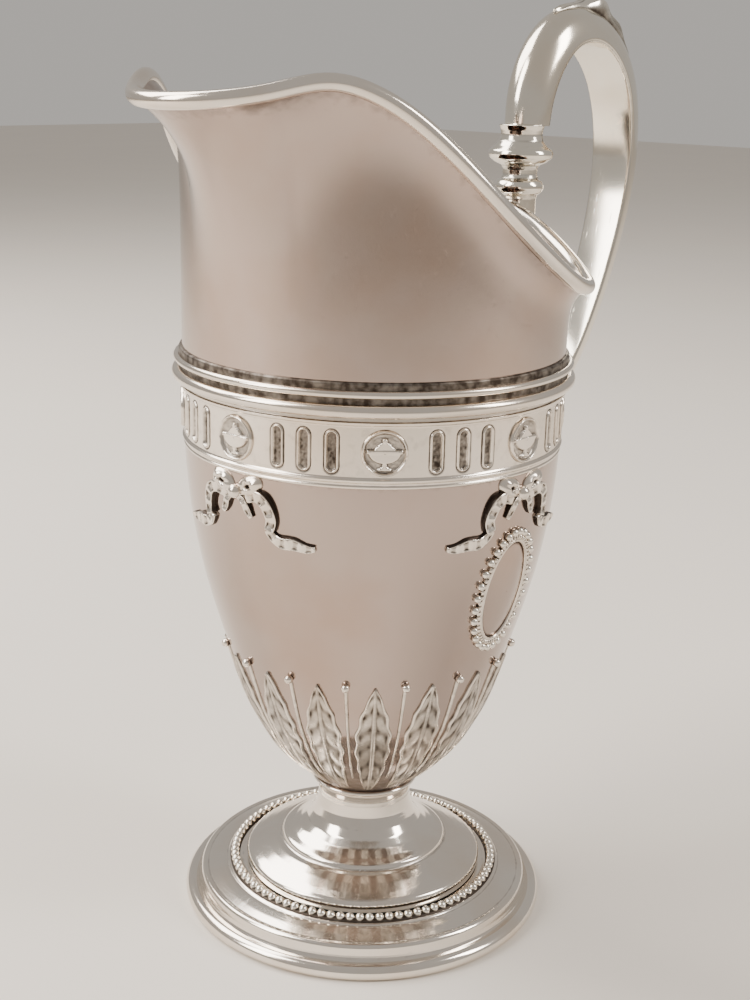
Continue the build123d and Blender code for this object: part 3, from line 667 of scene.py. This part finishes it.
tall = tall - 0.45 * hump(c, 0, 0.16) * step(0.45, 0.6, along)[:, None]
tall = tall + 0.2 * np.cos(np.pi * (9 * along[:, None] + 3 * np.abs(c)))
tall = np.where(np.abs(c) > 0.98, -0.3, tall)
tall[0] = tall[-1] = -0.3
y_dir = np.array([0, 1, 0])
base = mid[:, None] + wide[:, None, None] * np.cos(a)[..., None] * y_dir + (
    deep[:, None, None] * (np.sin(a)[..., None] - 0.45) * lean[:, None])
norm = np.cos(a)[..., None] * y_dir + np.sin(a)[..., None] * lean[:, None]
dark = np.clip(cavity(tall, 5, depth=0.3) + 0.7 * (np.abs(c) > 0.94), 0, 1)
part = Piece().grid(base + norm * tall[..., None], dark, flip=True)
part.make("handle_thumb_leaf", HANDLE, "handle_silver")
turn = [(0.1, 160), (1.6, 160.5), (2.4, 162.5), (3.2, 165), (4.2, 168.5), (4.6, 173), (4.8, 180), (4.9, 187),
        (4.9, 193.8), (5.3, 194.6), (6.3, 195.3), (6.9, 196.4), (6.9, 197.5), (6.3, 198.6), (5.2, 199.3),
        (4.9, 200.3), (4.95, 202), (5.6, 202.9), (7.4, 203.7), (8.9, 204.9), (9.2, 206), (8.9, 207.1),
        (7.4, 208.3), (6.2, 209.6), (5.85, 211.2),
        (6.0, 212.6), (6.5, 214), (4, 214.4)]
part = lathe(Piece(), chaikin(resample(turn, 0.4), 2), 120, axis_x=FERRULE_X, spread=24)
part.make("handle_ferrule", HANDLE, "handle_silver")
lug_low, lug_top = box("handle_upper_lug")
mid, size = (lug_low + lug_top) / 2, (lug_top - lug_low) / 2
across = np.linspace(lug_low[0], lug_top[0], 16)[:, None]
t = np.linspace(0, 2 * np.pi, 40, endpoint=False)[None, :]
swell = 1 + 0.25 * ((across - mid[0]) / size[0]) ** 2 - 0.25
ry = size[1] * np.sign(np.cos(t)) * np.abs(np.cos(t)) ** 0.6 * swell
rz = size[2] * np.sign(np.sin(t)) * np.abs(np.sin(t)) ** 0.6 * swell
part = Piece().grid(np.stack([across + 0 * ry, ry, mid[2] + rz], -1), 0.2, wrap_v=True)
part.make("handle_upper_lug", HANDLE, "handle_silver")
r = np.linspace(0.01, 1, 26)[None, :]
t = np.linspace(0, 2 * np.pi, 72, endpoint=False)[:, None]
y, z = 7.5 * r * np.cos(t), 116 + 9.5 * r * np.sin(t)
x = PAD_X - 0.2 - 2.6 * step(0.72, 1, r) + 0.25 * np.cos(8 * t) * hump(r, 0.85, 0.08)
wall = np.sqrt(np.maximum(cup_r(z) ** 2 - y ** 2, 1)) - 0.1
points = np.stack([np.maximum(x, wall), y + 0 * x, z + 0 * x], -1)
part = Piece().grid(points, 0.7 * hump(r, 0.98, 0.06) + 0 * y, wrap_u=True)
part.make("handle_lower_pad", HANDLE, "handle_silver")

# Studio -------------------------------------------------------------------------------------------
ground = bpy.data.meshes.new("floor")
far = 4.0
ground.from_pydata([(-far, -far, 0), (far, -far, 0), (far, far, 0), (-far, far, 0)], [], [(0, 1, 2, 3)])
pale = bpy.data.materials.new("floor")
pale.use_nodes = True
paint = pale.node_tree.nodes["Principled BSDF"]
paint.inputs["Roughness"].default_value = 0.9
fine = pale.node_tree.nodes.new("ShaderNodeTexNoise")
fine.inputs["Scale"].default_value = 60
tone = pale.node_tree.nodes.new("ShaderNodeMapRange")
tone.inputs["To Min"].default_value = 0.98
tone.inputs["To Max"].default_value = 1.02
pale.node_tree.links.new(fine.outputs["Fac"], tone.inputs["Value"])
mixer = pale.node_tree.nodes.new("ShaderNodeVectorMath")
mixer.operation = "SCALE"
mixer.inputs[0].default_value = (0.80, 0.745, 0.68)
pale.node_tree.links.new(tone.outputs["Result"], mixer.inputs["Scale"])
pale.node_tree.links.new(mixer.outputs["Vector"], paint.inputs["Base Color"])
ground.materials.append(pale)
floor = bpy.data.objects.new("floor", ground)
bpy.context.scene.collection.objects.link(floor)

world = bpy.data.worlds.new("studio")
bpy.context.scene.world = world
world.use_nodes = True
world.node_tree.nodes["Background"].inputs["Color"].default_value = (0.80, 0.76, 0.71, 1)
world.node_tree.nodes["Background"].inputs["Strength"].default_value = 0.6


def softbox(name, place, size, power, colour=(1.0, 0.95, 0.89)):
    """A large area light aimed at the middle of the pitcher."""
    lamp = bpy.data.lights.new(name, "AREA")
    lamp.shape = "RECTANGLE"
    lamp.size, lamp.size_y = size
    lamp.energy = power
    lamp.color = colour
    holder = bpy.data.objects.new(name, lamp)
    holder.location = place
    aim = np.array([0, 0, 0.12]) - np.array(place)
    holder.rotation_euler = Vector(aim).to_track_quat("-Z", "Y").to_euler()
    bpy.context.scene.collection.objects.link(holder)


softbox("key", (-0.2, 0.9, 1.1), (0.9, 0.9), 24)
softbox("side", (-1.0, 0.5, 0.9), (0.5, 0.9), 16)
softbox("right", (0.5, -0.9, 0.8), (0.3, 0.6), 9)

# Camera -------------------------------------------------------------------------------------------
pitch, yaw, roll = math.radians(16.31), math.radians(0.17), math.radians(1.35)
look = math.atan2(258.4, 292.1)
forward = np.array([math.cos(look), math.sin(look), 0.0])
right = np.array([math.sin(look), -math.cos(look), 0.0])
aim = (math.sin(yaw) * right + math.cos(yaw) * forward) * math.cos(pitch) - np.array([0, 0, math.sin(pitch)])
across = math.cos(yaw) * right - math.sin(yaw) * forward
upward = np.cross(across, aim)
cam_x = math.cos(roll) * across + math.sin(roll) * upward
cam_y = -math.sin(roll) * across + math.cos(roll) * upward
lens = bpy.data.cameras.new("camera")
lens.lens = 54
lens.sensor_width = 36
lens.clip_start = 0.01
camera = bpy.data.objects.new("camera", lens)
spot = np.array([-292.1, -258.4, 230.2]) * MM
camera.matrix_world = Matrix([[cam_x[i], cam_y[i], -aim[i], spot[i]] for i in range(3)] + [[0, 0, 0, 1]])
bpy.context.scene.collection.objects.link(camera)
bpy.context.scene.camera = camera
